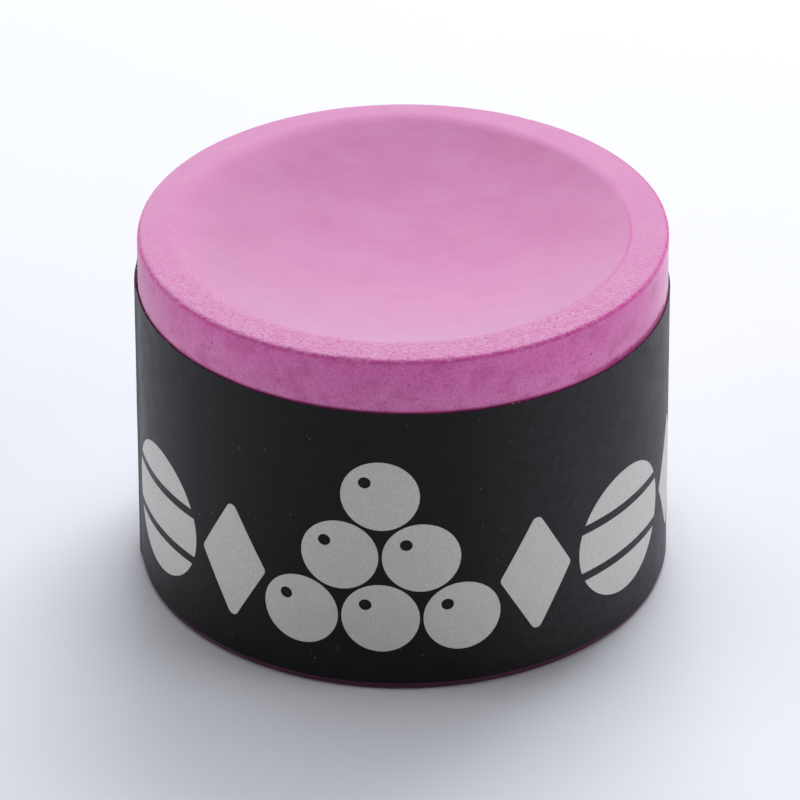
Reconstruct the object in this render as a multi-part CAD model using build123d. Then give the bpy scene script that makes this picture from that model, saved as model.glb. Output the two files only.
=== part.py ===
from build123d import *
import math
import os

# Round cue chalk with a printed wrap label. Millimetres, +Z up through the dish,
# origin at the centre of the flat underside.

# Chalk body
HEIGHT = 21.35
BASE_RADIUS = 15.32
TOP_RADIUS = 15.12
TOP_EDGE_RADIUS = 0.35
BOTTOM_CHAMFER = 0.1
DISH_RADIUS = 13.0
DISH_DEPTH = 3.0
DISH_EDGE_RADIUS = 0.6

# Label: heights of its cut edges, and the thickness of each layer
LABEL_BOTTOM = 0.45
LABEL_TOP = 18.05
ADHESIVE_THICKNESS = 0.02
PAPER_THICKNESS = 0.08
INK_THICKNESS = 0.01
LAYERS = ADHESIVE_THICKNESS + PAPER_THICKNESS + INK_THICKNESS

# Overlap of the label's ends at the left, as angles round +Z from +X.
# The strip lies on its under end from OVER_END to UNDER_END, comes down to the
# chalk over RAMP_ANGLE, and runs the whole way round to the under end.
OVER_END = 172.0
UNDER_END = 184.0
RAMP_ANGLE = 4.0

# Printed frieze: a striped ball, a diamond, a rack of balls and a diamond, again and again
UNITS = 3
FIRST_BALL_ANGLE = 205.0
BALL_TO_DIAMOND_ANGLE = 26.0
DIAMOND_TO_RACK_ANGLE = 34.0
MARK_BOTTOM = 2.6
MARK_HEIGHT = 8.0
DIAMOND_WIDTH = 4.6
DIAMOND_CORNER_RADIUS = 0.35
STRIPE_HALF_HEIGHT = 1.55
STRIPE_GAP = 0.55
RACK_ROWS = 3
RACK_BALL_RADIUS = 2.2
RACK_PITCH = 4.6
SHINE_RADIUS = 0.36
SHINE_OFFSET = 0.85


def chalk_radius(z):
    """Radius of the tapered side at a height."""
    return BASE_RADIUS + (TOP_RADIUS - BASE_RADIUS) * z / HEIGHT


def around(angle):
    """The vertical half plane at an angle round +Z: x outwards, y up."""
    outwards = Vector(math.cos(math.radians(angle)), math.sin(math.radians(angle)), 0)
    return Plane(origin=(0, 0, 0), x_dir=outwards, z_dir=outwards.cross(Vector(0, 0, 1)))


def chalk_body():
    """Tapered block with a dish, a flat ring round it and a rounded outer edge."""
    dish_sphere = (DISH_RADIUS**2 + DISH_DEPTH**2) / (2 * DISH_DEPTH)
    dish_floor = HEIGHT - DISH_DEPTH
    middle = DISH_RADIUS / 2
    middle_height = dish_floor + dish_sphere - math.sqrt(dish_sphere**2 - middle**2)
    with BuildPart() as body:
        with BuildSketch(around(0)):
            with BuildLine():
                Polyline(
                    (0, dish_floor),
                    (0, 0),
                    (BASE_RADIUS, 0),
                    (TOP_RADIUS, HEIGHT),
                    (DISH_RADIUS, HEIGHT),
                )
                ThreePointArc((DISH_RADIUS, HEIGHT), (middle, middle_height), (0, dish_floor))
            make_face()
        revolve(axis=Axis.Z)
        rings = body.edges().filter_by(GeomType.CIRCLE)
        chamfer(rings.group_by(Axis.Z)[0], BOTTOM_CHAMFER)
        top_rings = body.edges().filter_by(GeomType.CIRCLE).group_by(Axis.Z)[-1]
        dish_ring, outer_ring = top_rings.sort_by(SortBy.RADIUS)
        fillet(outer_ring, TOP_EDGE_RADIUS)
        dish_ring = (
            body.edges().filter_by(GeomType.CIRCLE).group_by(Axis.Z)[-1].sort_by(SortBy.RADIUS)[0]
        )
        fillet(dish_ring, DISH_EDGE_RADIUS)
    return body.part


def layer_section(angle, inside, outside):
    """Section of one label layer in the half plane at an angle, by its distances off the chalk."""
    bottom = chalk_radius(LABEL_BOTTOM)
    top = chalk_radius(LABEL_TOP)
    corners = [
        (bottom + inside, LABEL_BOTTOM),
        (bottom + outside, LABEL_BOTTOM),
        (top + outside, LABEL_TOP),
        (top + inside, LABEL_TOP),
    ]
    return around(angle) * make_face(Polyline(*corners, close=True))


def band(start, end, inside, outside):
    """A layer running round the chalk from one angle to another."""
    return revolve(layer_section(start, inside, outside), axis=Axis.Z, revolution_arc=end - start)


def wrap_layer(inside, outside):
    """One layer of the strip: over the under end, down to the chalk, and once round it."""
    ramp_end = UNDER_END + RAMP_ANGLE
    over = band(OVER_END, UNDER_END, inside + LAYERS, outside + LAYERS)
    ramp = loft(
        [
            layer_section(UNDER_END, inside + LAYERS, outside + LAYERS),
            layer_section(ramp_end, inside, outside),
        ],
        ruled=True,
    )
    once_round = band(ramp_end, UNDER_END + 360, inside, outside)
    return over + ramp + once_round


def diamond():
    """Rail-sight diamond, as tall as a row of marks, as a drawing at its place in the unit."""
    tall = MARK_HEIGHT / 2
    wide = DIAMOND_WIDTH / 2
    outline = make_face(Polyline((wide, 0), (0, tall), (-wide, 0), (0, -tall), close=True))
    drawing = fillet(outline.vertices(), DIAMOND_CORNER_RADIUS)
    return [(drawing, 0, MARK_BOTTOM + tall)]


def striped_ball():
    """Ball seen from the side, its stripe set off by a gap above and below."""
    radius = MARK_HEIGHT / 2
    gaps = [
        Pos(0, side * STRIPE_HALF_HEIGHT) * Rectangle(2 * MARK_HEIGHT, STRIPE_GAP) for side in (-1, 1)
    ]
    return [(Circle(radius) - gaps, 0, MARK_BOTTOM + radius)]


def rack():
    """Triangle of balls, each with a small unprinted shine."""
    ball = Circle(RACK_BALL_RADIUS) - Pos(-SHINE_OFFSET, SHINE_OFFSET) * Circle(SHINE_RADIUS)
    row_rise = RACK_PITCH * math.sin(math.radians(60))
    balls = []
    for row in range(RACK_ROWS):
        in_row = RACK_ROWS - row
        for place in range(in_row):
            across = (place - (in_row - 1) / 2) * RACK_PITCH
            balls.append((ball, across, MARK_BOTTOM + RACK_BALL_RADIUS + row * row_rise))
    return balls


def frieze():
    """Each mark with its angle, from the foot of the ramp round to the over end."""
    unit_angle = 2 * (BALL_TO_DIAMOND_ANGLE + DIAMOND_TO_RACK_ANGLE)
    for unit in range(UNITS):
        ball_angle = FIRST_BALL_ANGLE + unit * unit_angle
        rack_angle = ball_angle + unit_angle / 2
        yield striped_ball(), ball_angle
        yield diamond(), ball_angle + BALL_TO_DIAMOND_ANGLE
        yield rack(), rack_angle
        if unit < UNITS - 1:
            yield diamond(), rack_angle + DIAMOND_TO_RACK_ANGLE


def on_label(drawing, angle, height, ink_shell):
    """A flat drawing carried onto the ink layer at an angle and a height."""
    outwards = around(angle).x_dir
    mid_radius = chalk_radius(height)
    face_on = Plane(
        origin=outwards * mid_radius + Vector(0, 0, height),
        x_dir=Vector(0, 0, 1).cross(outwards),
        z_dir=outwards,
    )
    stamp = extrude(face_on * drawing, amount=mid_radius / 4, both=True)
    return (stamp & ink_shell).solids()


def grey_marks():
    """Every printed mark, as separate solids of one ink layer."""
    ink_shell = band(0, 360, LAYERS, LAYERS + INK_THICKNESS)
    marks = []
    for mark, mark_angle in frieze():
        for drawing, across, height in mark:
            angle = mark_angle + math.degrees(across / chalk_radius(height))
            marks += on_label(drawing, angle, height, ink_shell)
    return marks


paper_inside = ADHESIVE_THICKNESS
ink_inside = ADHESIVE_THICKNESS + PAPER_THICKNESS
parts = {
    "chalk_body": chalk_body(),
    "label_adhesive": wrap_layer(0, paper_inside),
    "label_paper": wrap_layer(paper_inside, ink_inside),
    "label_black_ink": wrap_layer(ink_inside, LAYERS),
    "label_grey_ink": Compound(children=grey_marks()),
}

os.makedirs("parts", exist_ok=True)
for name, shape in parts.items():
    export_step(shape, f"parts/{name}.step")
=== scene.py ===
import math

import bmesh
import bpy
from mathutils import Matrix, Vector, noise

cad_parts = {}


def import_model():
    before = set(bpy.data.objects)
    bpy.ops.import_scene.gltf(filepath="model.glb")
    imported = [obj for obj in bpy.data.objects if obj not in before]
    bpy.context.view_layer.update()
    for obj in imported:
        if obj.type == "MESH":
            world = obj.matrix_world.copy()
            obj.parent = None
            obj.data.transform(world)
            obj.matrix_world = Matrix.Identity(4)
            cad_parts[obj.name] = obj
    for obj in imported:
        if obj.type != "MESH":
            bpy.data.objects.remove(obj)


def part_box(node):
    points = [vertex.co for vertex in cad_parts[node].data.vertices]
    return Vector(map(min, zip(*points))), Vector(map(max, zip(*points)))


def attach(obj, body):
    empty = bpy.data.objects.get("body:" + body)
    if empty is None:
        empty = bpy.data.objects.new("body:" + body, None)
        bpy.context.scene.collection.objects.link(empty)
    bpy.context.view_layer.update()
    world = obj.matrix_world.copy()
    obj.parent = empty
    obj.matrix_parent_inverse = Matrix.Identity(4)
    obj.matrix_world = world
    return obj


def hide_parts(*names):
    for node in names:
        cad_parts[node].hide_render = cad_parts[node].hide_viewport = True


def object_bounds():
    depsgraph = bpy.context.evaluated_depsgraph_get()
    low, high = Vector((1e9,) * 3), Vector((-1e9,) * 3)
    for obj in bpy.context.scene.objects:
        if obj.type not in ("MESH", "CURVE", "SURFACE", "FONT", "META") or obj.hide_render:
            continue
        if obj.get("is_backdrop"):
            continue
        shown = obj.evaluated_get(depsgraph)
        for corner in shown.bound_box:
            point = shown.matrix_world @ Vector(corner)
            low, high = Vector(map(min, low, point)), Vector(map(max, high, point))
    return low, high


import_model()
cad_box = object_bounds()

# Round cue chalk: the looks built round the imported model. Blender units are metres, and
# MM is one millimetre. The materials count in plain millimetres.
MM = 0.001

# Chalk, as in the CAD model
_, chalk_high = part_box("chalk_body")
HEIGHT = chalk_high.z
TAPER = 0.20 * MM
TOP_EDGE = 0.35 * MM
BOTTOM_CHAMFER = 0.10 * MM
DISH_RADIUS = 13.0 * MM
DISH_DEPTH = 3.0 * MM
BASE_RADIUS = chalk_high.x + TAPER * BOTTOM_CHAMFER / HEIGHT
TOP_RADIUS = BASE_RADIUS - TAPER

# Label, as in the CAD model
paper_low, paper_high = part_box("label_paper")
marks_low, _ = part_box("label_grey_ink")
LABEL_BOTTOM = paper_low.z
LABEL_TOP = paper_high.z
ADHESIVE = 0.02 * MM
PAPER = 0.08 * MM
INK = 0.01 * MM
LAYERS = ADHESIVE + PAPER + INK
OVER_END = 172.0
UNDER_END = 184.0
RAMP_ANGLE = 4.0


# ---------------------------------------------------------------- helpers

SHARP_EDGE = math.radians(35)


def smoothstep(value, low, high):
    """0 at low, 1 at high, and a smooth climb between them."""
    share = min(1.0, max(0.0, (value - low) / (high - low)))
    return share * share * (3 - 2 * share)


def smooth_min(a, b, blend):
    """The lower of two heights, with the corner between them rounded over blend."""
    share = max(0.0, blend - abs(a - b)) / blend
    return min(a, b) - share * share * blend / 4


def chalk_radius(z):
    """Radius of the tapered side at a height."""
    return BASE_RADIUS - TAPER * z / HEIGHT


def polar(radius, angle, z):
    """Point at a radius, an angle in degrees round +Z from +X, and a height."""
    turn = math.radians(angle)
    return Vector((radius * math.cos(turn), radius * math.sin(turn), z))


def rough(point, size, octaves=3):
    """Smooth random value, about -1 to 1, that varies over a distance of size."""
    return noise.fractal(point / size, 1.0, 2.0, octaves, noise_basis="PERLIN_ORIGINAL")


def new_object(name, mesh):
    """Mesh object in the scene, smooth but for its sharp edges."""
    mesh.polygons.foreach_set("use_smooth", [True] * len(mesh.polygons))
    mesh.set_sharp_from_angle(angle=SHARP_EDGE)
    made = bpy.data.objects.new(name, mesh)
    bpy.context.scene.collection.objects.link(made)
    return made


# ---------------------------------------------------------------- chalk

FINE_SECTORS = 1024
BAND_STEP = 0.11 * MM
RING_STEP = 0.11 * MM
DISH_STEP = 0.16 * MM
EDGE_STEPS = 6
HIDDEN_STEP = 2.2 * MM
UNDERSIDE_STEP = 1.5 * MM
FINE_DISH_WIDTH = 0.6 * MM
FEWEST_SECTORS = 16
NARROWEST_FACE = 0.6

# Wear of the edges
WORN_BACK = 0.55 * MM
WORN_BACK_FOCUS = 8
CRISP_DISH_EDGE = 0.09 * MM
RUBBED_DISH_EDGE = 0.16 * MM
DISH_EDGE_TURN = 20
FLAT_BEYOND_DISH = 1.7 * MM
CRISPEST_TOP_EDGE = 0.4
TOP_EDGE_TURN = -20

# Crumbling and unevenness. Depths that carry no MM are in millimetres.
CHIP_SIZE = 0.9 * MM
CHIP_DEPTH = 0.20
CRUMB_SIZE = 0.28 * MM
CRUMB_DEPTH = 0.11
CRUMB_SHIFT = Vector((0.05, 0, 0))
CHIP_THRESHOLD = 0.35
CRUMB_THRESHOLD = 0.05
CHIPS_AT_BACK = 0.15
FULLY_CHIPPED_Y = -5 * MM
LEAST_CHIPPED_Y = 3 * MM
CHIP_REACH = 0.22 * MM
GRAIN_SIZE = 0.30 * MM
SWELL_SIZE = 3.0 * MM
SWELL = 0.010
TOP_GRAIN = 0.006
DISH_GRAIN_LOSS = 0.005
SIDE_GRAIN = 0.004
DISH_SPHERE = (DISH_RADIUS**2 + DISH_DEPTH**2) / (2 * DISH_DEPTH)


def dish_height(radius):
    """Height of the dish's sphere, which passes through the rim at DISH_RADIUS."""
    return HEIGHT - DISH_DEPTH + DISH_SPHERE - math.sqrt(DISH_SPHERE**2 - radius**2)


def toward_left(angle):
    """0 at the right, 1 at the left."""
    return (1 - math.cos(math.radians(angle))) / 2


def dish_edge(angle):
    """Radius of the dish's edge, which is worn outwards at the very back."""
    return DISH_RADIUS + WORN_BACK * max(0.0, math.sin(math.radians(angle))) ** WORN_BACK_FOCUS


def dish_softness(angle):
    """How far the dish's edge is rubbed round: crisp at the right, soft at the left."""
    return CRISP_DISH_EDGE + RUBBED_DISH_EDGE * toward_left(angle + DISH_EDGE_TURN)


def edge_size(angle):
    """Radius of the top's outer edge: rubbed round at the left, crisper at the right."""
    rubbed = toward_left(angle + TOP_EDGE_TURN)
    return TOP_EDGE * (CRISPEST_TOP_EDGE + (1 - CRISPEST_TOP_EDGE) * rubbed)


def top_height(radius, angle):
    """Height of the top: a flat ring that falls into the dish."""
    if radius > DISH_RADIUS + FLAT_BEYOND_DISH:
        return HEIGHT
    in_dish = radius * DISH_RADIUS / dish_edge(angle)
    return smooth_min(HEIGHT, dish_height(in_dish), dish_softness(angle))


def spaced(start, end, step):
    """Evenly spaced values from start to end, both included."""
    count = max(1, round(abs(end - start) / step))
    return [start + (end - start) * i / count for i in range(count + 1)]


def chalk_rings():
    """Rings of the chalk from the middle of the underside to the middle of the dish.

    Each is (number of sectors, zone, radius, height). A ring of the rounded edge has its turn
    round that edge in place of a radius. Edge and top rings get their heights in chalk_point.
    """
    rings = []
    for radius in spaced(UNDERSIDE_STEP, BASE_RADIUS - BOTTOM_CHAMFER, UNDERSIDE_STEP):
        rings.append((FINE_SECTORS // 8, "side", radius, 0.0))
    for z in spaced(BOTTOM_CHAMFER, LABEL_TOP - HIDDEN_STEP / 2, HIDDEN_STEP):
        rings.append((FINE_SECTORS // 4, "side", chalk_radius(z), z))
    for z in spaced(LABEL_TOP - 3 * BAND_STEP, HEIGHT - TOP_EDGE, BAND_STEP):
        rings.append((FINE_SECTORS, "side", chalk_radius(z), z))
    for i in range(EDGE_STEPS + 1):
        rings.append((FINE_SECTORS, "edge", math.pi / 2 * i / EDGE_STEPS, None))
    flat_start = chalk_radius(HEIGHT) - TOP_EDGE
    fine_end = DISH_RADIUS - FINE_DISH_WIDTH
    for radius in spaced(flat_start, fine_end, RING_STEP)[1:]:
        rings.append((FINE_SECTORS, "top", radius, None))
    sectors = FINE_SECTORS // 2
    radius = fine_end
    while radius > 2 * DISH_STEP:
        radius -= DISH_STEP
        face_width = radius * 2 * math.pi / sectors
        if sectors > FEWEST_SECTORS and face_width < NARROWEST_FACE * DISH_STEP:
            sectors //= 2
        rings.append((sectors, "top", radius, None))
    return rings


def chip_depth(point):
    """How much has crumbled off the top's outer edge at a point, mostly toward the front."""
    chips = max(0.0, rough(point, CHIP_SIZE, 2) - CHIP_THRESHOLD)
    crumbs = max(0.0, rough(point + CRUMB_SHIFT, CRUMB_SIZE, 2) - CRUMB_THRESHOLD)
    toward_front = 1 - smoothstep(point.y, FULLY_CHIPPED_Y, LEAST_CHIPPED_Y)
    amount = CHIPS_AT_BACK + (1 - CHIPS_AT_BACK) * toward_front
    return (CHIP_DEPTH * chips + CRUMB_DEPTH * crumbs) * amount * MM


def chalk_point(zone, radius, angle, z):
    """A point of the chalk's surface with its unevenness."""
    if zone == "top":
        z = top_height(radius, angle)
    if zone == "edge":
        turn, size = radius, edge_size(angle)
        radius = TOP_RADIUS - size * (1 - math.cos(turn))
        z = HEIGHT - size * (1 - math.sin(turn))
    point = polar(radius, angle, z)
    outwards = polar(1, angle, 0)
    edge_middle = polar(TOP_RADIUS, angle, HEIGHT)
    near_edge = math.exp(-(((point - edge_middle).length / CHIP_REACH) ** 2))
    chipped = chip_depth(point) * near_edge
    diagonal = (outwards + Vector((0, 0, 1))).normalized()
    grain = rough(point, GRAIN_SIZE, 2)
    swell = SWELL * rough(point, SWELL_SIZE, 2)
    if zone == "top":
        in_dish = smoothstep(DISH_RADIUS - radius, -0.3 * MM, 0.8 * MM)
        height = (TOP_GRAIN - DISH_GRAIN_LOSS * in_dish) * grain + swell
        return point + Vector((0, 0, height * MM)) - diagonal * chipped
    if z < LABEL_TOP - BAND_STEP:
        return point
    return point + outwards * (SIDE_GRAIN * grain + swell) * MM - diagonal * chipped


def join_rings(faces, lower, upper):
    """Faces between two rings, whose counts are equal or differ by a power of two."""
    if len(lower) < len(upper):
        fine, coarse, flip = upper, lower, True
    else:
        fine, coarse, flip = lower, upper, False
    ratio = len(fine) // len(coarse)
    for i in range(len(coarse)):
        after = coarse[(i + 1) % len(coarse)]
        run = [fine[(i * ratio + k) % len(fine)] for k in range(ratio + 1)]
        if ratio == 1:
            face = [run[0], run[1], after, coarse[i]]
            faces.append(face[::-1] if flip else face)
            continue
        half = ratio // 2
        fans = [[coarse[i], run[k], run[k + 1]] for k in range(half)]
        fans.append([coarse[i], run[half], after])
        fans += [[after, run[k], run[k + 1]] for k in range(half, ratio)]
        faces.extend(fan[::-1] if flip else fan for fan in fans)


def pressed_chalk():
    """The block of chalk as one closed mesh."""
    points = [Vector((0, 0, 0))]
    rings = []
    for sectors, zone, radius, z in chalk_rings():
        ring = []
        for i in range(sectors):
            ring.append(len(points))
            points.append(chalk_point(zone, radius, 360 * i / sectors, z))
        rings.append(ring)
    top = len(points)
    points.append(Vector((0, 0, top_height(0, 0))))
    faces = [[0, b, a] for a, b in zip(rings[0], rings[0][1:] + rings[0][:1])]
    for lower, upper in zip(rings, rings[1:]):
        join_rings(faces, lower, upper)
    faces += [[top, a, b] for a, b in zip(rings[-1], rings[-1][1:] + rings[-1][:1])]
    mesh = bpy.data.meshes.new("pressed_chalk")
    mesh.from_pydata(points, [], faces)
    return new_object("pressed_chalk", mesh)


# ---------------------------------------------------------------- label

STRIP_ANGLE = UNDER_END + 360 - OVER_END
STRIP_STEP_ANGLE = 0.5
STRIP_ROWS = 24
EDGE_WANDER = 0.02 * MM
SKEW = 0.22 * MM
RIPPLE = 0.010 * MM
FREE_END_LIFT = 0.05 * MM
FREE_END_ANGLE = 3
WANDER_SIZE = 2.5 * MM
RIPPLE_SIZE = 4.0 * MM
INK_EDGE_LOSS = 0.12 * MM
INK_EDGE_SIZE = 0.5 * MM
INK_EDGE_THRESHOLD = 0.35


def strip_lift(along):
    """How far the strip stands off the chalk, by the angle along it from its over end."""
    under_end = UNDER_END - OVER_END
    overlap = LAYERS * (1 - smoothstep(along, under_end + 0.2, under_end + RAMP_ANGLE))
    free = FREE_END_LIFT * (1 - smoothstep(along, 0, FREE_END_ANGLE))
    return overlap + free


def strip_edge(along, height):
    """Height of the strip's cut edge, which wanders. The top one is cut slightly askew."""
    around = polar(BASE_RADIUS, OVER_END + along, height)
    skew = -SKEW * around.x / BASE_RADIUS * height / LABEL_TOP
    return height + skew + EDGE_WANDER * rough(around, WANDER_SIZE, 4)


def strip_point(along, z, off):
    """A point of the strip: an angle along it, a height, and a distance off its back."""
    angle = OVER_END + along
    ripple = RIPPLE * rough(polar(BASE_RADIUS, angle, z), RIPPLE_SIZE, 2)
    return polar(chalk_radius(z) + strip_lift(along) + off + ripple, angle, z)


def strip_layer(name, inside, outside, shrink=0.0):
    """One layer of the strip as a thin closed mesh. Its edges stop short by shrink in places."""
    columns = round(STRIP_ANGLE / STRIP_STEP_ANGLE)
    points = []
    for off in (inside, outside):
        for i in range(columns + 1):
            along = STRIP_ANGLE * i / columns
            low = strip_edge(along, LABEL_BOTTOM)
            high = strip_edge(along, LABEL_TOP)
            if shrink:
                worn = rough(polar(BASE_RADIUS, OVER_END + along, 0), INK_EDGE_SIZE, 3)
                high -= shrink * max(0.0, worn - INK_EDGE_THRESHOLD)
            for row in range(STRIP_ROWS + 1):
                points.append(strip_point(along, low + (high - low) * row / STRIP_ROWS, off))
    rows = STRIP_ROWS + 1
    layer = (columns + 1) * rows
    faces = []
    for i in range(columns):
        for row in range(STRIP_ROWS):
            a = i * rows + row
            faces.append([a, a + 1, a + rows + 1, a + rows])
            faces.append([layer + a, layer + a + rows, layer + a + rows + 1, layer + a + 1])
        for row in (0, STRIP_ROWS):
            a = i * rows + row
            rim = [a, a + rows, layer + a + rows, layer + a]
            faces.append(rim if row == 0 else rim[::-1])
    for i in (0, columns):
        for row in range(STRIP_ROWS):
            a = i * rows + row
            end = [a, layer + a, layer + a + 1, a + 1]
            faces.append(end if i == 0 else end[::-1])
    mesh = bpy.data.meshes.new(name)
    mesh.from_pydata(points, [], faces)
    return new_object(name, mesh)


# ---------------------------------------------------------------- printed marks

UNITS = 3
FIRST_BALL_ANGLE = 205.0
BALL_TO_DIAMOND_ANGLE = 26.0
DIAMOND_TO_RACK_ANGLE = 34.0
MARK_BOTTOM = marks_low.z
MARK_HEIGHT = 8.0 * MM
DIAMOND_WIDTH = 4.6 * MM
DIAMOND_CORNER_RADIUS = 0.35 * MM
STRIPE_HALF_HEIGHT = 1.55 * MM
STRIPE_GAP = 0.55 * MM
RACK_ROWS = 3
RACK_BALL_RADIUS = 2.2 * MM
RACK_PITCH = 4.6 * MM
SHINE_RADIUS = 0.36 * MM
SHINE_OFFSET = 0.85 * MM
MARK_STEP = 0.3 * MM
ARC_STEP = 0.12 * MM
SAME_POINT = 1e-7
CUT_TOLERANCE = 1e-8


def disc_slice(radius, low, high):
    """Outline of the part of a disc between two heights."""
    start, end = math.asin(low / radius), math.asin(high / radius)
    steps = max(4, round(radius * (end - start) / ARC_STEP))
    right = [start + (end - start) * i / steps for i in range(steps + 1)]
    left = [math.pi - turn for turn in reversed(right)]
    outline = [(radius * math.cos(turn), radius * math.sin(turn)) for turn in right + left]
    neighbours = zip(outline, outline[1:] + outline[:1])
    return [point for point, after in neighbours if math.dist(point, after) > SAME_POINT]


def rounded(corners, radius):
    """Outline of a convex polygon with its corners rounded."""
    outline = []
    count = len(corners)
    for i, corner in enumerate(corners):
        here = Vector(corner)
        back = (Vector(corners[i - 1]) - here).normalized()
        ahead = (Vector(corners[(i + 1) % count]) - here).normalized()
        half = back.angle(ahead) / 2
        centre = here + (back + ahead).normalized() * radius / math.sin(half)
        start = here + back * radius / math.tan(half) - centre
        turn = math.pi - 2 * half
        steps = max(2, round(radius * turn / ARC_STEP))
        for k in range(steps + 1):
            step = start.copy()
            step.rotate(Matrix.Rotation(turn * k / steps, 2))
            outline.append(tuple(centre + step))
    return outline


def moved(outline, across, up):
    """An outline carried across and up."""
    return [(x + across, y + up) for x, y in outline]


def diamond():
    """Rail-sight diamond: a list of (outline, holes)."""
    tall, wide = MARK_HEIGHT / 2, DIAMOND_WIDTH / 2
    corners = [(wide, 0), (0, tall), (-wide, 0), (0, -tall)]
    return [(moved(rounded(corners, DIAMOND_CORNER_RADIUS), 0, MARK_BOTTOM + tall), [])]


def striped_ball():
    """Ball with its stripe set off by a gap above and below."""
    radius = MARK_HEIGHT / 2
    inner, outer = STRIPE_HALF_HEIGHT - STRIPE_GAP / 2, STRIPE_HALF_HEIGHT + STRIPE_GAP / 2
    slices = [(-radius, -outer), (-inner, inner), (outer, radius)]
    return [(moved(disc_slice(radius, *s), 0, MARK_BOTTOM + radius), []) for s in slices]


def rack():
    """Triangle of balls, each with a small unprinted shine."""
    ball = disc_slice(RACK_BALL_RADIUS, -RACK_BALL_RADIUS, RACK_BALL_RADIUS)
    shine = moved(disc_slice(SHINE_RADIUS, -SHINE_RADIUS, SHINE_RADIUS), -SHINE_OFFSET, SHINE_OFFSET)
    row_rise = RACK_PITCH * math.sin(math.radians(60))
    balls = []
    for row in range(RACK_ROWS):
        in_row = RACK_ROWS - row
        up = MARK_BOTTOM + RACK_BALL_RADIUS + row * row_rise
        for place in range(in_row):
            across = (place - (in_row - 1) / 2) * RACK_PITCH
            balls.append((moved(ball, across, up), [moved(shine, across, up)]))
    return balls


def frieze():
    """Each mark with its angle, from the foot of the ramp round to the over end."""
    unit_angle = 2 * (BALL_TO_DIAMOND_ANGLE + DIAMOND_TO_RACK_ANGLE)
    for unit in range(UNITS):
        ball_angle = FIRST_BALL_ANGLE + unit * unit_angle
        rack_angle = ball_angle + unit_angle / 2
        yield striped_ball(), ball_angle
        yield diamond(), ball_angle + BALL_TO_DIAMOND_ANGLE
        yield rack(), rack_angle
        if unit < UNITS - 1:
            yield diamond(), rack_angle + DIAMOND_TO_RACK_ANGLE


def fill_shape(bm, outline, holes):
    """Flat faces inside an outline and outside its holes, cut into a grid that can bend."""
    edges = []
    for loop in [outline, *holes]:
        corners = [bm.verts.new((x, y, 0)) for x, y in loop]
        for a, b in zip(corners, corners[1:] + corners[:1]):
            edges.append(bm.edges.new((a, b)))
    filled = bmesh.ops.triangle_fill(bm, edges=edges, use_beauty=True)["geom"]
    geometry = set(filled) | set(edges) | {v for edge in edges for v in edge.verts}
    for axis in (0, 1):
        low = min(p[axis] for p in outline)
        high = max(p[axis] for p in outline)
        normal = Vector((1 - axis, axis, 0))
        for cut in spaced(low, high, MARK_STEP)[1:-1]:
            done = bmesh.ops.bisect_plane(
                bm, geom=list(geometry), dist=CUT_TOLERANCE, plane_co=normal * cut, plane_no=normal
            )
            geometry = set(done["geom"])


def grey_marks():
    """Every printed mark, as thin closed pieces of one ink layer wrapped round the label."""
    whole = bmesh.new()
    for shapes, mark_angle in frieze():
        for outline, holes in shapes:
            bm = bmesh.new()
            fill_shape(bm, outline, holes)
            flat_faces = list(bm.faces)
            raised = bmesh.ops.extrude_face_region(bm, geom=flat_faces)["geom"]
            outside = {v for v in raised if isinstance(v, bmesh.types.BMVert)}
            for v in bm.verts:
                off = LAYERS + (INK if v in outside else 0)
                turn = math.degrees(v.co.x / chalk_radius(v.co.y))
                v.co = strip_point(mark_angle + turn - OVER_END, v.co.y, off)
            bmesh.ops.recalc_face_normals(bm, faces=bm.faces)
            piece = bpy.data.meshes.new("mark")
            bm.to_mesh(piece)
            bm.free()
            whole.from_mesh(piece)
            bpy.data.meshes.remove(piece)
    mesh = bpy.data.meshes.new("grey_ink_marks")
    whole.to_mesh(mesh)
    whole.free()
    return new_object("grey_ink_marks", mesh)


# ---------------------------------------------------------------- materials


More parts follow.
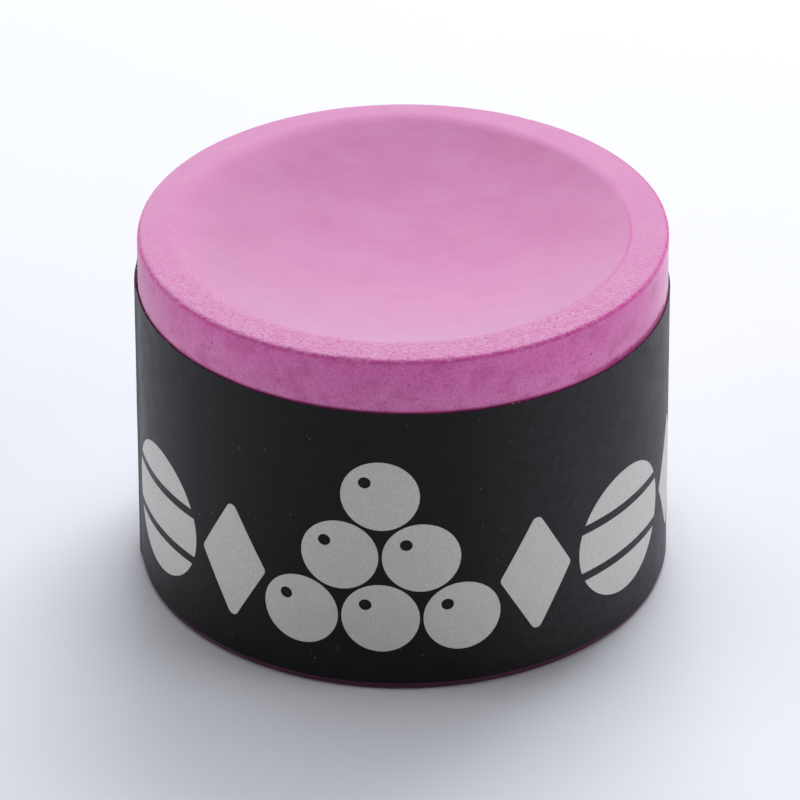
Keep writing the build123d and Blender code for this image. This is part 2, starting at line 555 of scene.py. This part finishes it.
class Surface:
    """A procedural material being built. Its coordinates are the part's own, in millimetres."""

    def __init__(self, name):
        self.material = bpy.data.materials.new(name)
        self.material.use_nodes = True
        self.tree = self.material.node_tree
        self.shader = self.tree.nodes["Principled BSDF"]
        place = self.add("ShaderNodeTexCoord").outputs
        scale = self.add("ShaderNodeVectorMath", {"operation": "SCALE"}, place["Object"])
        scale.inputs["Scale"].default_value = 1 / MM
        self.place = scale.outputs["Vector"]
        self.normal = place["Normal"]

    def add(self, kind, settings=None, *values):
        """A node with its settings and its first inputs, each a number, a colour or a socket."""
        made = self.tree.nodes.new(kind)
        for key, value in (settings or {}).items():
            setattr(made, key, value)
        for socket, value in zip(made.inputs, values):
            if isinstance(value, bpy.types.NodeSocket):
                self.tree.links.new(value, socket)
            elif value is not None:
                socket.default_value = value
        return made

    def noise(self, size, detail=2.0, stretch=(1, 1, 1), shift=(0, 0, 0)):
        """Random value about 0.5 that varies over size millimetres, times stretch."""
        place = self.add("ShaderNodeMapping", None, self.place, shift)
        place.inputs["Scale"].default_value = [1 / (size * s) for s in stretch]
        made = self.add("ShaderNodeTexNoise", None, place.outputs["Vector"])
        made.inputs["Scale"].default_value = 1
        made.inputs["Detail"].default_value = detail
        return made.outputs["Fac"]

    def cells(self, size, shift=(0, 0, 0)):
        """Scattered points, one in each cell of size millimetres."""
        place = self.add("ShaderNodeMapping", None, self.place, shift)
        place.inputs["Scale"].default_value = [1 / size] * 3
        made = self.add("ShaderNodeTexVoronoi", None, place.outputs["Vector"])
        made.inputs["Scale"].default_value = 1
        return made

    def part(self, vector, axis):
        """One component of a vector: X, Y or Z."""
        return self.add("ShaderNodeSeparateXYZ", None, vector).outputs[axis]

    def maths(self, operation, *values):
        """One step of arithmetic on numbers and sockets."""
        return self.add("ShaderNodeMath", {"operation": operation}, *values).outputs[0]

    def times(self, first, second):
        """Product of two numbers or sockets."""
        return self.maths("MULTIPLY", first, second)

    def ramp(self, value, low, high, to_low=0.0, to_high=1.0):
        """value carried from low..high to to_low..to_high and held there."""
        made = self.add("ShaderNodeMapRange", None, value, low, high, to_low, to_high)
        return made.outputs["Result"]

    def mix(self, share, first, second, blend="MIX"):
        """Two colours mixed; share is how much of the second."""
        made = self.add("ShaderNodeMix", {"data_type": "RGBA", "blend_type": blend})
        for key, value in {"Factor_Float": share, "A_Color": first, "B_Color": second}.items():
            socket = next(s for s in made.inputs if s.identifier == key)
            if isinstance(value, bpy.types.NodeSocket):
                self.tree.links.new(value, socket)
            else:
                socket.default_value = value
        return next(s for s in made.outputs if s.identifier == "Result_Color")

    def bump(self, height, depth, under=None, strength=None):
        """Normal of a height that goes from 0 to 1 over depth millimetres."""
        made = self.add("ShaderNodeBump", None, strength)
        made.inputs["Distance"].default_value = depth * MM
        self.tree.links.new(height, made.inputs["Height"])
        if under:
            self.tree.links.new(under, made.inputs["Normal"])
        return made.outputs["Normal"]

    def finish(self, colour, roughness, normal, **fixed):
        """Connects the shader. Fixed values go on its own sockets."""
        self.tree.links.new(colour, self.shader.inputs["Base Color"])
        self.tree.links.new(normal, self.shader.inputs["Normal"])
        self.tree.links.new(roughness, self.shader.inputs["Roughness"])
        for key, value in fixed.items():
            self.shader.inputs[key.replace("_", " ")].default_value = value
        return self.material


# The top's pink is partly dust and partly painted sheen; the side's is partly pressing and partly
# painted shade.
DUST_AND_SHEEN_PINK = (0.69, 0.235, 0.485, 1)
PRESSED_AND_SHADED_PINK = (0.86, 0.16, 0.53, 1)
PALE_DUST = (0.78, 0.45, 0.65, 1)
# Painted sheen, greying the dish toward the left.
PAINTED_SHEEN_GREY = (0.42, 0.22, 0.36, 1)
DEEP_PINK = (0.50, 0.06, 0.24, 1)
MAGENTA_PATCH = (0.62, 0.06, 0.31, 1)
EDGE_PINK = (0.70, 0.05, 0.36, 1)
# Painted shade, with some stain, along the label's top edge and in the bruise at the right.
SHADE_AND_BRUISE_PINK = (0.42, 0.006, 0.17, 1)
# Painted shade, with some dirt, at the foot.
SHADED_DIRTY_CHALK = (0.040, 0.016, 0.027, 1)
PIT_SHADOW = (0.10, 0.02, 0.06, 1)
SIDE_SHEEN = 0.70
TOP_SHEEN = 0.74

# Sizes of what shows in the chalk, in millimetres
DUST_SIZE = 2.6
MOTTLE_SIZE = 1.3
CLOUD_SIZE = 2.4
STREAK_SIZE = 0.30
GRAIN_SPACING = 0.15
COARSE_GRAIN_SPACING = 0.35
PIT_SPACING = 0.9
FEW_PITS_SIZE = 1.5
RIM_PATCH_SIZE = 0.3
STAIN_WANDER_SIZE = 0.5

# How strongly each shows, from 0 to 1
PALE_PATCHES = 0.15
DUST_AT_LABEL = 0.22
MOTTLE = 0.50
PAINTED_SHEEN_LEFT = 0.28
PAINTED_SHEEN_RIGHT = 0.04
CLOUD = 0.17
STREAK = 0.13
LIGHT_GRAIN = 0.50
DARK_GRAIN = 0.85
PIT = 0.6
DISH_LINE = 0.60
LABEL_SHADE_LINE = 0.75
SHADED_BRUISE = 0.85
FOOT_SHADE_AND_DIRT = 0.92

# Radii and depths of the chalk's marks, in millimetres
RIM_INSIDE = 14.88
RIM_OUTSIDE = 15.03
LOW_EDGE_INSIDE = 14.9
LOW_EDGE_OUTSIDE = 15.2
COARSE_GRAIN_DEPTH = 0.03
GRAIN_DEPTH = 0.05
PIT_DEPTH = 0.03


class ChalkSurface(Surface):
    """The chalk's material, with masks of the regions of the block."""

    def __init__(self):
        super().__init__("chalk")
        self.x, self.y, self.z = (self.part(self.place, axis) for axis in "XYZ")
        across = self.times(self.x, self.x)
        self.radius = self.maths("SQRT", self.maths("ADD", across, self.times(self.y, self.y)))
        self.up = self.ramp(self.part(self.normal, "Z"), 0.25, 0.85)
        self.side = self.ramp(self.up, 0.0, 1.0, 1.0, 0.0)
        inside = self.maths("SUBTRACT", DISH_RADIUS / MM, self.radius)
        inside = self.maths("DIVIDE", inside, self.ramp(self.x, -9.0, 3.0, 2.2, 0.25))
        self.in_dish = self.times(self.ramp(inside, 0.0, 1.0), self.up)
        outside_dish = self.ramp(self.in_dish, 0.0, 1.0, 1.0, 0.2)
        rubbed = self.times(outside_dish, self.ramp(self.up, 0.0, 1.0, 0.5, 1.0))
        self.open_grain = self.times(rubbed, self.ramp(self.y, 2.0, -10.0, 0.2, 1.0))
        height = self.maths("MULTIPLY_ADD", self.x, SKEW / BASE_RADIUS, self.z)
        self.above_label = self.maths("SUBTRACT", height, LABEL_TOP / MM)


def chalk_colour_with_painted_light(s):
    """Colour of the pressed chalk, its dust and its smears. The top is painted paler, partly dust and
    partly painted sheen, and the side deeper, partly pressing and partly painted shade.
    """
    # Painted sheen and shade: paler on top and deeper on the side, by the way the surface faces.
    colour = s.mix(s.up, PRESSED_AND_SHADED_PINK, DUST_AND_SHEEN_PINK)
    pale = s.ramp(s.noise(DUST_SIZE, 3.0), 0.40, 0.75, 0.0, PALE_PATCHES)
    colour = s.mix(pale, colour, PALE_DUST)
    dusty_foot = s.times(s.ramp(s.above_label, 0.2, 2.4, DUST_AT_LABEL, 0.0), s.side)
    colour = s.mix(dusty_foot, colour, PALE_DUST)
    mottle = s.ramp(s.noise(MOTTLE_SIZE, 4.0, (1.0, 1.0, 0.8)), 0.46, 0.66, 0.0, MOTTLE)
    colour = s.mix(s.times(mottle, s.side), colour, MAGENTA_PATCH)
    # Painted sheen: the dish is greyed toward the left.
    painted_sheen = s.times(s.ramp(s.x, -11.0, 4.0, PAINTED_SHEEN_LEFT, PAINTED_SHEEN_RIGHT), s.in_dish)
    colour = s.mix(painted_sheen, colour, PAINTED_SHEEN_GREY)
    cloud = s.ramp(s.noise(CLOUD_SIZE, 3.0, (1.4, 1.0, 1.0)), 0.42, 0.70, 0.0, CLOUD)
    streak = s.ramp(s.noise(STREAK_SIZE, 3.0, (4.0, 1.0, 1.0)), 0.52, 0.72, 0.0, STREAK)
    smear = s.times(s.maths("ADD", cloud, streak), s.ramp(s.y, -6.0, 5.0, 0.15, 1.0))
    return s.mix(s.times(smear, s.in_dish), colour, DEEP_PINK)


def grained(s, colour, grain):
    """The colour with light and dark grains where the chalk is open."""
    light = s.ramp(grain, 0.52, 0.70, 0.0, LIGHT_GRAIN)
    dark = s.ramp(grain, 0.46, 0.32, 0.0, DARK_GRAIN)
    colour = s.mix(s.times(light, s.open_grain), colour, PALE_DUST)
    return s.mix(s.times(dark, s.open_grain), colour, MAGENTA_PATCH)


def pit_mask(s):
    """A few small holes in the side."""
    few = s.ramp(s.noise(FEW_PITS_SIZE, 1.0, shift=(3, 5, 7)), 0.54, 0.60)
    pits = s.ramp(s.cells(PIT_SPACING).outputs["Distance"], 0.05, 0.11, PIT, 0.0)
    return s.times(s.times(pits, few), s.side)


def rim_mask(s):
    """Patchy rubbed line along the top's outer edge."""
    top = HEIGHT / MM
    at_edge = s.times(s.ramp(s.radius, RIM_INSIDE, RIM_OUTSIDE), s.ramp(s.z, top - 0.28, top - 0.15))
    patchy = s.ramp(s.noise(RIM_PATCH_SIZE, 3.0, shift=(1, 8, 2)), 0.35, 0.60, 0.30, 0.80)
    return s.times(at_edge, patchy)


def dish_line_mask(s):
    """Thin line along the dish's edge at the right."""
    off_edge = s.maths("ABSOLUTE", s.maths("SUBTRACT", s.radius, DISH_RADIUS / MM - 0.05))
    line = s.times(s.ramp(off_edge, 0.02, 0.15, DISH_LINE, 0.0), s.ramp(s.x, 3.0, 9.0))
    return s.times(s.times(line, s.ramp(s.y, 4.0, -1.0)), s.up)


def label_shade_and_bruise_mask(s):
    """Painted shade in a dark line just above the label, with some stain, and a dark bruise at the
    right that is partly painted shade. It also covers all below.
    """
    wander = s.maths("MULTIPLY_ADD", s.noise(STAIN_WANDER_SIZE, 3.0), 0.5, s.above_label)
    line = s.ramp(s.above_label, 0.05, 0.18, LABEL_SHADE_LINE, 0.0)
    bruise_and_shade = s.times(s.ramp(wander, 0.50, 0.75, SHADED_BRUISE, 0.0), s.ramp(s.x, 9.0, 11.5))
    return s.maths("MAXIMUM", s.times(line, s.side), bruise_and_shade)


def foot_shade_and_dirt_mask(s):
    """Painted shade, with some dirt, on the outside of the foot."""
    outermost = s.ramp(s.radius, LOW_EDGE_INSIDE, LOW_EDGE_OUTSIDE)
    return s.times(s.ramp(s.z, 0.3, 0.6, FOOT_SHADE_AND_DIRT, 0.0), outermost)


def chalk_material():
    """Pressed chalk: dusty and open-grained on top, smoothed in the dish, denser on the side, with
    painted sheen on the top and painted shade on the side.
    """
    s = ChalkSurface()
    grain = s.noise(GRAIN_SPACING, 2.0)
    pits, rim, shade_and_bruise = pit_mask(s), rim_mask(s), label_shade_and_bruise_mask(s)
    colour = grained(s, chalk_colour_with_painted_light(s), grain)
    colour = s.mix(pits, colour, PIT_SHADOW)
    colour = s.mix(rim, colour, EDGE_PINK)
    colour = s.mix(dish_line_mask(s), colour, EDGE_PINK)
    # Painted shade along the label's top edge, with some stain, and the bruise at the right.
    colour = s.mix(shade_and_bruise, colour, SHADE_AND_BRUISE_PINK)
    # Painted shade, with some dirt, darkening the foot.
    colour = s.mix(foot_shade_and_dirt_mask(s), colour, SHADED_DIRTY_CHALK)

    unmarked = s.ramp(s.maths("MAXIMUM", shade_and_bruise, rim), 0.0, 1.0, 1.0, 0.1)
    sheen = s.times(s.ramp(s.up, 0.0, 1.0, SIDE_SHEEN, TOP_SHEEN), unmarked)
    s.tree.links.new(sheen, s.shader.inputs["Sheen Weight"])

    normal = s.bump(s.noise(COARSE_GRAIN_SPACING, 2.0), COARSE_GRAIN_DEPTH, strength=s.open_grain)
    normal = s.bump(grain, GRAIN_DEPTH, normal, s.open_grain)
    normal = s.bump(s.ramp(pits, 0.0, PIT, 1.0, 0.0), PIT_DEPTH, normal)
    roughness = s.ramp(grain, 0.2, 0.8, 0.8, 0.95)
    return s.finish(colour, roughness, normal, Specular_IOR_Level=0.25, Sheen_Roughness=0.5)


BLACK_INK = (0.0015, 0.0015, 0.0020, 1)
WORN_INK = (0.0050, 0.0050, 0.0065, 1)
# Painted reflection, lightening the ink toward the right.
PAINTED_REFLECTION_INK = (0.022, 0.021, 0.024, 1)
DUST_SPECK = (0.25, 0.22, 0.25, 1)
INK_MOTTLE_SIZE = 1.2
DUST_SPACING = 0.65
SPECK_PATCH_SIZE = 0.9
REFLECTION_PATCH_SIZE = 0.45
WEAVE = 0.16
PRINT_DEPTH = 0.006


def black_ink_material():
    """Satin black print with a fine texture, specks of dust, and a painted reflection that lightens it
    toward the right.
    """
    s = Surface("black_ink")
    mottle = s.noise(INK_MOTTLE_SIZE, 4.0)
    colour = s.mix(s.ramp(mottle, 0.4, 0.7), BLACK_INK, WORN_INK)
    specks = s.ramp(s.cells(DUST_SPACING).outputs["Distance"], 0.05, 0.10, 0.40, 0.0)
    some = s.ramp(s.noise(SPECK_PATCH_SIZE, 2.0, shift=(9, 0, 0)), 0.50, 0.56)
    colour = s.mix(s.times(specks, some), colour, DUST_SPECK)
    # Painted reflection: patches of the ink lightened toward the right.
    toward_right = s.ramp(s.part(s.place, "X"), 3.0, 9.5)
    painted_reflection = s.ramp(s.noise(REFLECTION_PATCH_SIZE, 4.0), 0.30, 0.65, 0.45, 1.0)
    colour = s.mix(s.times(toward_right, painted_reflection), colour, PAINTED_REFLECTION_INK)
    normal = s.bump(s.noise(WEAVE, 1.0), PRINT_DEPTH)
    roughness = s.ramp(mottle, 0.3, 0.7, 0.40, 0.48)
    return s.finish(colour, roughness, normal, Specular_IOR_Level=0.2)


GREY_INK = (0.72, 0.72, 0.675, 1)
GREY_FIBRE = (0.57, 0.56, 0.53, 1)
PINK_SMUDGE = (0.66, 0.60, 0.59, 1)
PRINT_FIBRE = 0.14
SMUDGE_SIZE = 1.3


def grey_ink_material():
    """Light grey print over the paper's fibres, with faint smudges of chalk."""
    s = Surface("grey_ink")
    fibre = s.noise(PRINT_FIBRE, 3.0)
    colour = s.mix(s.ramp(fibre, 0.35, 0.65, 0.0, 0.6), GREY_INK, GREY_FIBRE)
    smudge = s.ramp(s.noise(SMUDGE_SIZE, 3.0, shift=(4, 2, 0)), 0.5, 0.75, 0.0, 0.4)
    colour = s.mix(smudge, colour, PINK_SMUDGE)
    normal = s.bump(fibre, PRINT_DEPTH)
    roughness = s.ramp(fibre, 0.3, 0.7, 0.45, 0.6)
    return s.finish(colour, roughness, normal, Specular_IOR_Level=0.3)


PAPER_CORE = (0.62, 0.60, 0.60, 1)
PAPER_STAIN = (0.09, 0.02, 0.05, 1)
PAPER_FIBRE = 0.08
PAPER_DEPTH = 0.01
BARED_SIZE = 3.5
FLECK_SIZE = 0.28


def paper_material():
    """Label paper: its cut edges are stained dark by ink and dirt, with light flecks of core."""
    s = Surface("paper")
    bared = s.ramp(s.noise(BARED_SIZE, 1.0, shift=(2, 1, 0)), 0.50, 0.62)
    core = s.times(s.ramp(s.noise(FLECK_SIZE, 3.0), 0.58, 0.66), bared)
    colour = s.mix(core, PAPER_STAIN, PAPER_CORE)
    fibre = s.noise(PAPER_FIBRE, 2.0)
    normal = s.bump(fibre, PAPER_DEPTH)
    roughness = s.ramp(fibre, 0.3, 0.7, 0.8, 0.95)
    return s.finish(colour, roughness, normal, Specular_IOR_Level=0.3)


ADHESIVE_CLEAR = (0.10, 0.035, 0.06, 1)
ADHESIVE_DUSTY = (0.22, 0.05, 0.13, 1)
CAUGHT_DUST_SIZE = 0.4
CAUGHT_DUST_DEPTH = 0.01


def adhesive_material():
    """Adhesive with chalk dust caught along its edge."""
    s = Surface("adhesive")
    dust = s.noise(CAUGHT_DUST_SIZE, 3.0)
    colour = s.mix(s.ramp(dust, 0.4, 0.65), ADHESIVE_CLEAR, ADHESIVE_DUSTY)
    normal = s.bump(dust, CAUGHT_DUST_DEPTH)
    roughness = s.ramp(dust, 0.3, 0.7, 0.4, 0.8)
    return s.finish(colour, roughness, normal, Specular_IOR_Level=0.4)


# ---------------------------------------------------------------- stage

CAMERA_DISTANCE = 300 * MM
CAMERA_ELEVATION = math.radians(30.91)
CAMERA_ROLL = math.radians(-0.20)
CAMERA_TARGET = Vector((-0.20 * MM, 0, 9.86 * MM))
CAMERA_LENS = 232.8
SENSOR_WIDTH = 36
FLOOR_SIZE = 3.0
FLOOR_SHADE = (0.84, 0.855, 0.905, 1)
FLOOR_LIGHT = (0.87, 0.885, 0.935, 1)
FLOOR_CLOUD_SIZE = 40
FLOOR_SHINE_SIZE = 15
FLOOR_GRAIN_SIZE = 2.0
FLOOR_GRAIN_DEPTH = 0.01
SOFTBOX_DISTANCE = 0.48
# Name, angle round +Z from +X, angle above the floor, size in metres, power in watts
SOFTBOXES = [
    ("back right", 72, 42, (0.35, 0.35), 1.75),
    ("top", 90, 75, (0.35, 0.35), 1.00),
    ("left", 182, 20, (0.25, 0.30), 0.52),
    ("right", 345, 20, (0.25, 0.30), 0.58),
]
LIGHT_COLOUR = (0.95, 0.955, 1.0)
WORLD_STRENGTH = 0.12


def camera():
    """The camera, looking at the front of the object from above."""
    data = bpy.data.cameras.new("camera")
    data.lens = CAMERA_LENS
    data.sensor_width = SENSOR_WIDTH
    data.clip_start = 0.01
    data.clip_end = 10
    made = bpy.data.objects.new("camera", data)
    bpy.context.scene.collection.objects.link(made)
    back = Vector((0, -math.cos(CAMERA_ELEVATION), math.sin(CAMERA_ELEVATION)))
    turn = back.to_track_quat("Z", "Y").to_matrix() @ Matrix.Rotation(CAMERA_ROLL, 3, "Z")
    made.matrix_world = Matrix.Translation(CAMERA_TARGET + back * CAMERA_DISTANCE) @ turn.to_4x4()
    bpy.context.scene.camera = made


def softbox(name, round_from_right, above, size, power):
    """Rectangular light facing the object, placed by its angles round +Z and above the floor."""
    level = math.radians(above)
    out, up = SOFTBOX_DISTANCE * math.cos(level), SOFTBOX_DISTANCE * math.sin(level)
    place = polar(out, round_from_right, up)
    data = bpy.data.lights.new(name, "AREA")
    data.shape = "RECTANGLE"
    data.size, data.size_y = size
    data.energy = power
    data.color = LIGHT_COLOUR
    made = bpy.data.objects.new(name, data)
    bpy.context.scene.collection.objects.link(made)
    made.location = place
    made.rotation_euler = (place - Vector((0, 0, HEIGHT / 2))).to_track_quat("Z", "Y").to_euler()


def floor():
    """Plain pale floor."""
    mesh = bpy.data.meshes.new("floor")
    half = FLOOR_SIZE / 2
    corners = [(-half, -half, 0), (half, -half, 0), (half, half, 0), (-half, half, 0)]
    mesh.from_pydata(corners, [], [(0, 1, 2, 3)])
    made = bpy.data.objects.new("floor", mesh)
    bpy.context.scene.collection.objects.link(made)
    s = Surface("floor")
    colour = s.mix(s.noise(FLOOR_CLOUD_SIZE, 2.0), FLOOR_SHADE, FLOOR_LIGHT)
    normal = s.bump(s.noise(FLOOR_GRAIN_SIZE, 2.0), FLOOR_GRAIN_DEPTH)
    roughness = s.ramp(s.noise(FLOOR_SHINE_SIZE, 2.0), 0.3, 0.7, 0.75, 0.85)
    mesh.materials.append(s.finish(colour, roughness, normal, Specular_IOR_Level=0.2))
    made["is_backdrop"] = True


def world():
    """Faint even light from all round."""
    made = bpy.data.worlds.new("studio")
    made.use_nodes = True
    background = made.node_tree.nodes["Background"]
    background.inputs["Color"].default_value = (1, 1, 1, 1)
    background.inputs["Strength"].default_value = WORLD_STRENGTH
    bpy.context.scene.world = made


# ---------------------------------------------------------------- the object

camera()
for box in SOFTBOXES:
    softbox(*box)
world()
floor()

pieces = [
    (pressed_chalk(), "chalk_body", "chalk", chalk_material()),
    (strip_layer("adhesive_film", 0, ADHESIVE), "label_adhesive", "adhesive", adhesive_material()),
    (strip_layer("paper_strip", ADHESIVE, ADHESIVE + PAPER), "label_paper", "paper", paper_material()),
    (
        strip_layer("black_ink_coat", ADHESIVE + PAPER, LAYERS, shrink=INK_EDGE_LOSS),
        "label_black_ink",
        "black_ink",
        black_ink_material(),
    ),
    (grey_marks(), "label_grey_ink", "grey_ink", grey_ink_material()),
]
for piece, node, slot, material in pieces:
    piece.data.materials.append(material)
    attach(piece, "root")
    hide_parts(node)

bpy.context.scene.view_settings.view_transform = "Standard"

visual_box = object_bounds()
boxes = {"cad": cad_box, "visual": visual_box}
{name: [list(corner) for corner in box] for name, box in boxes.items()}
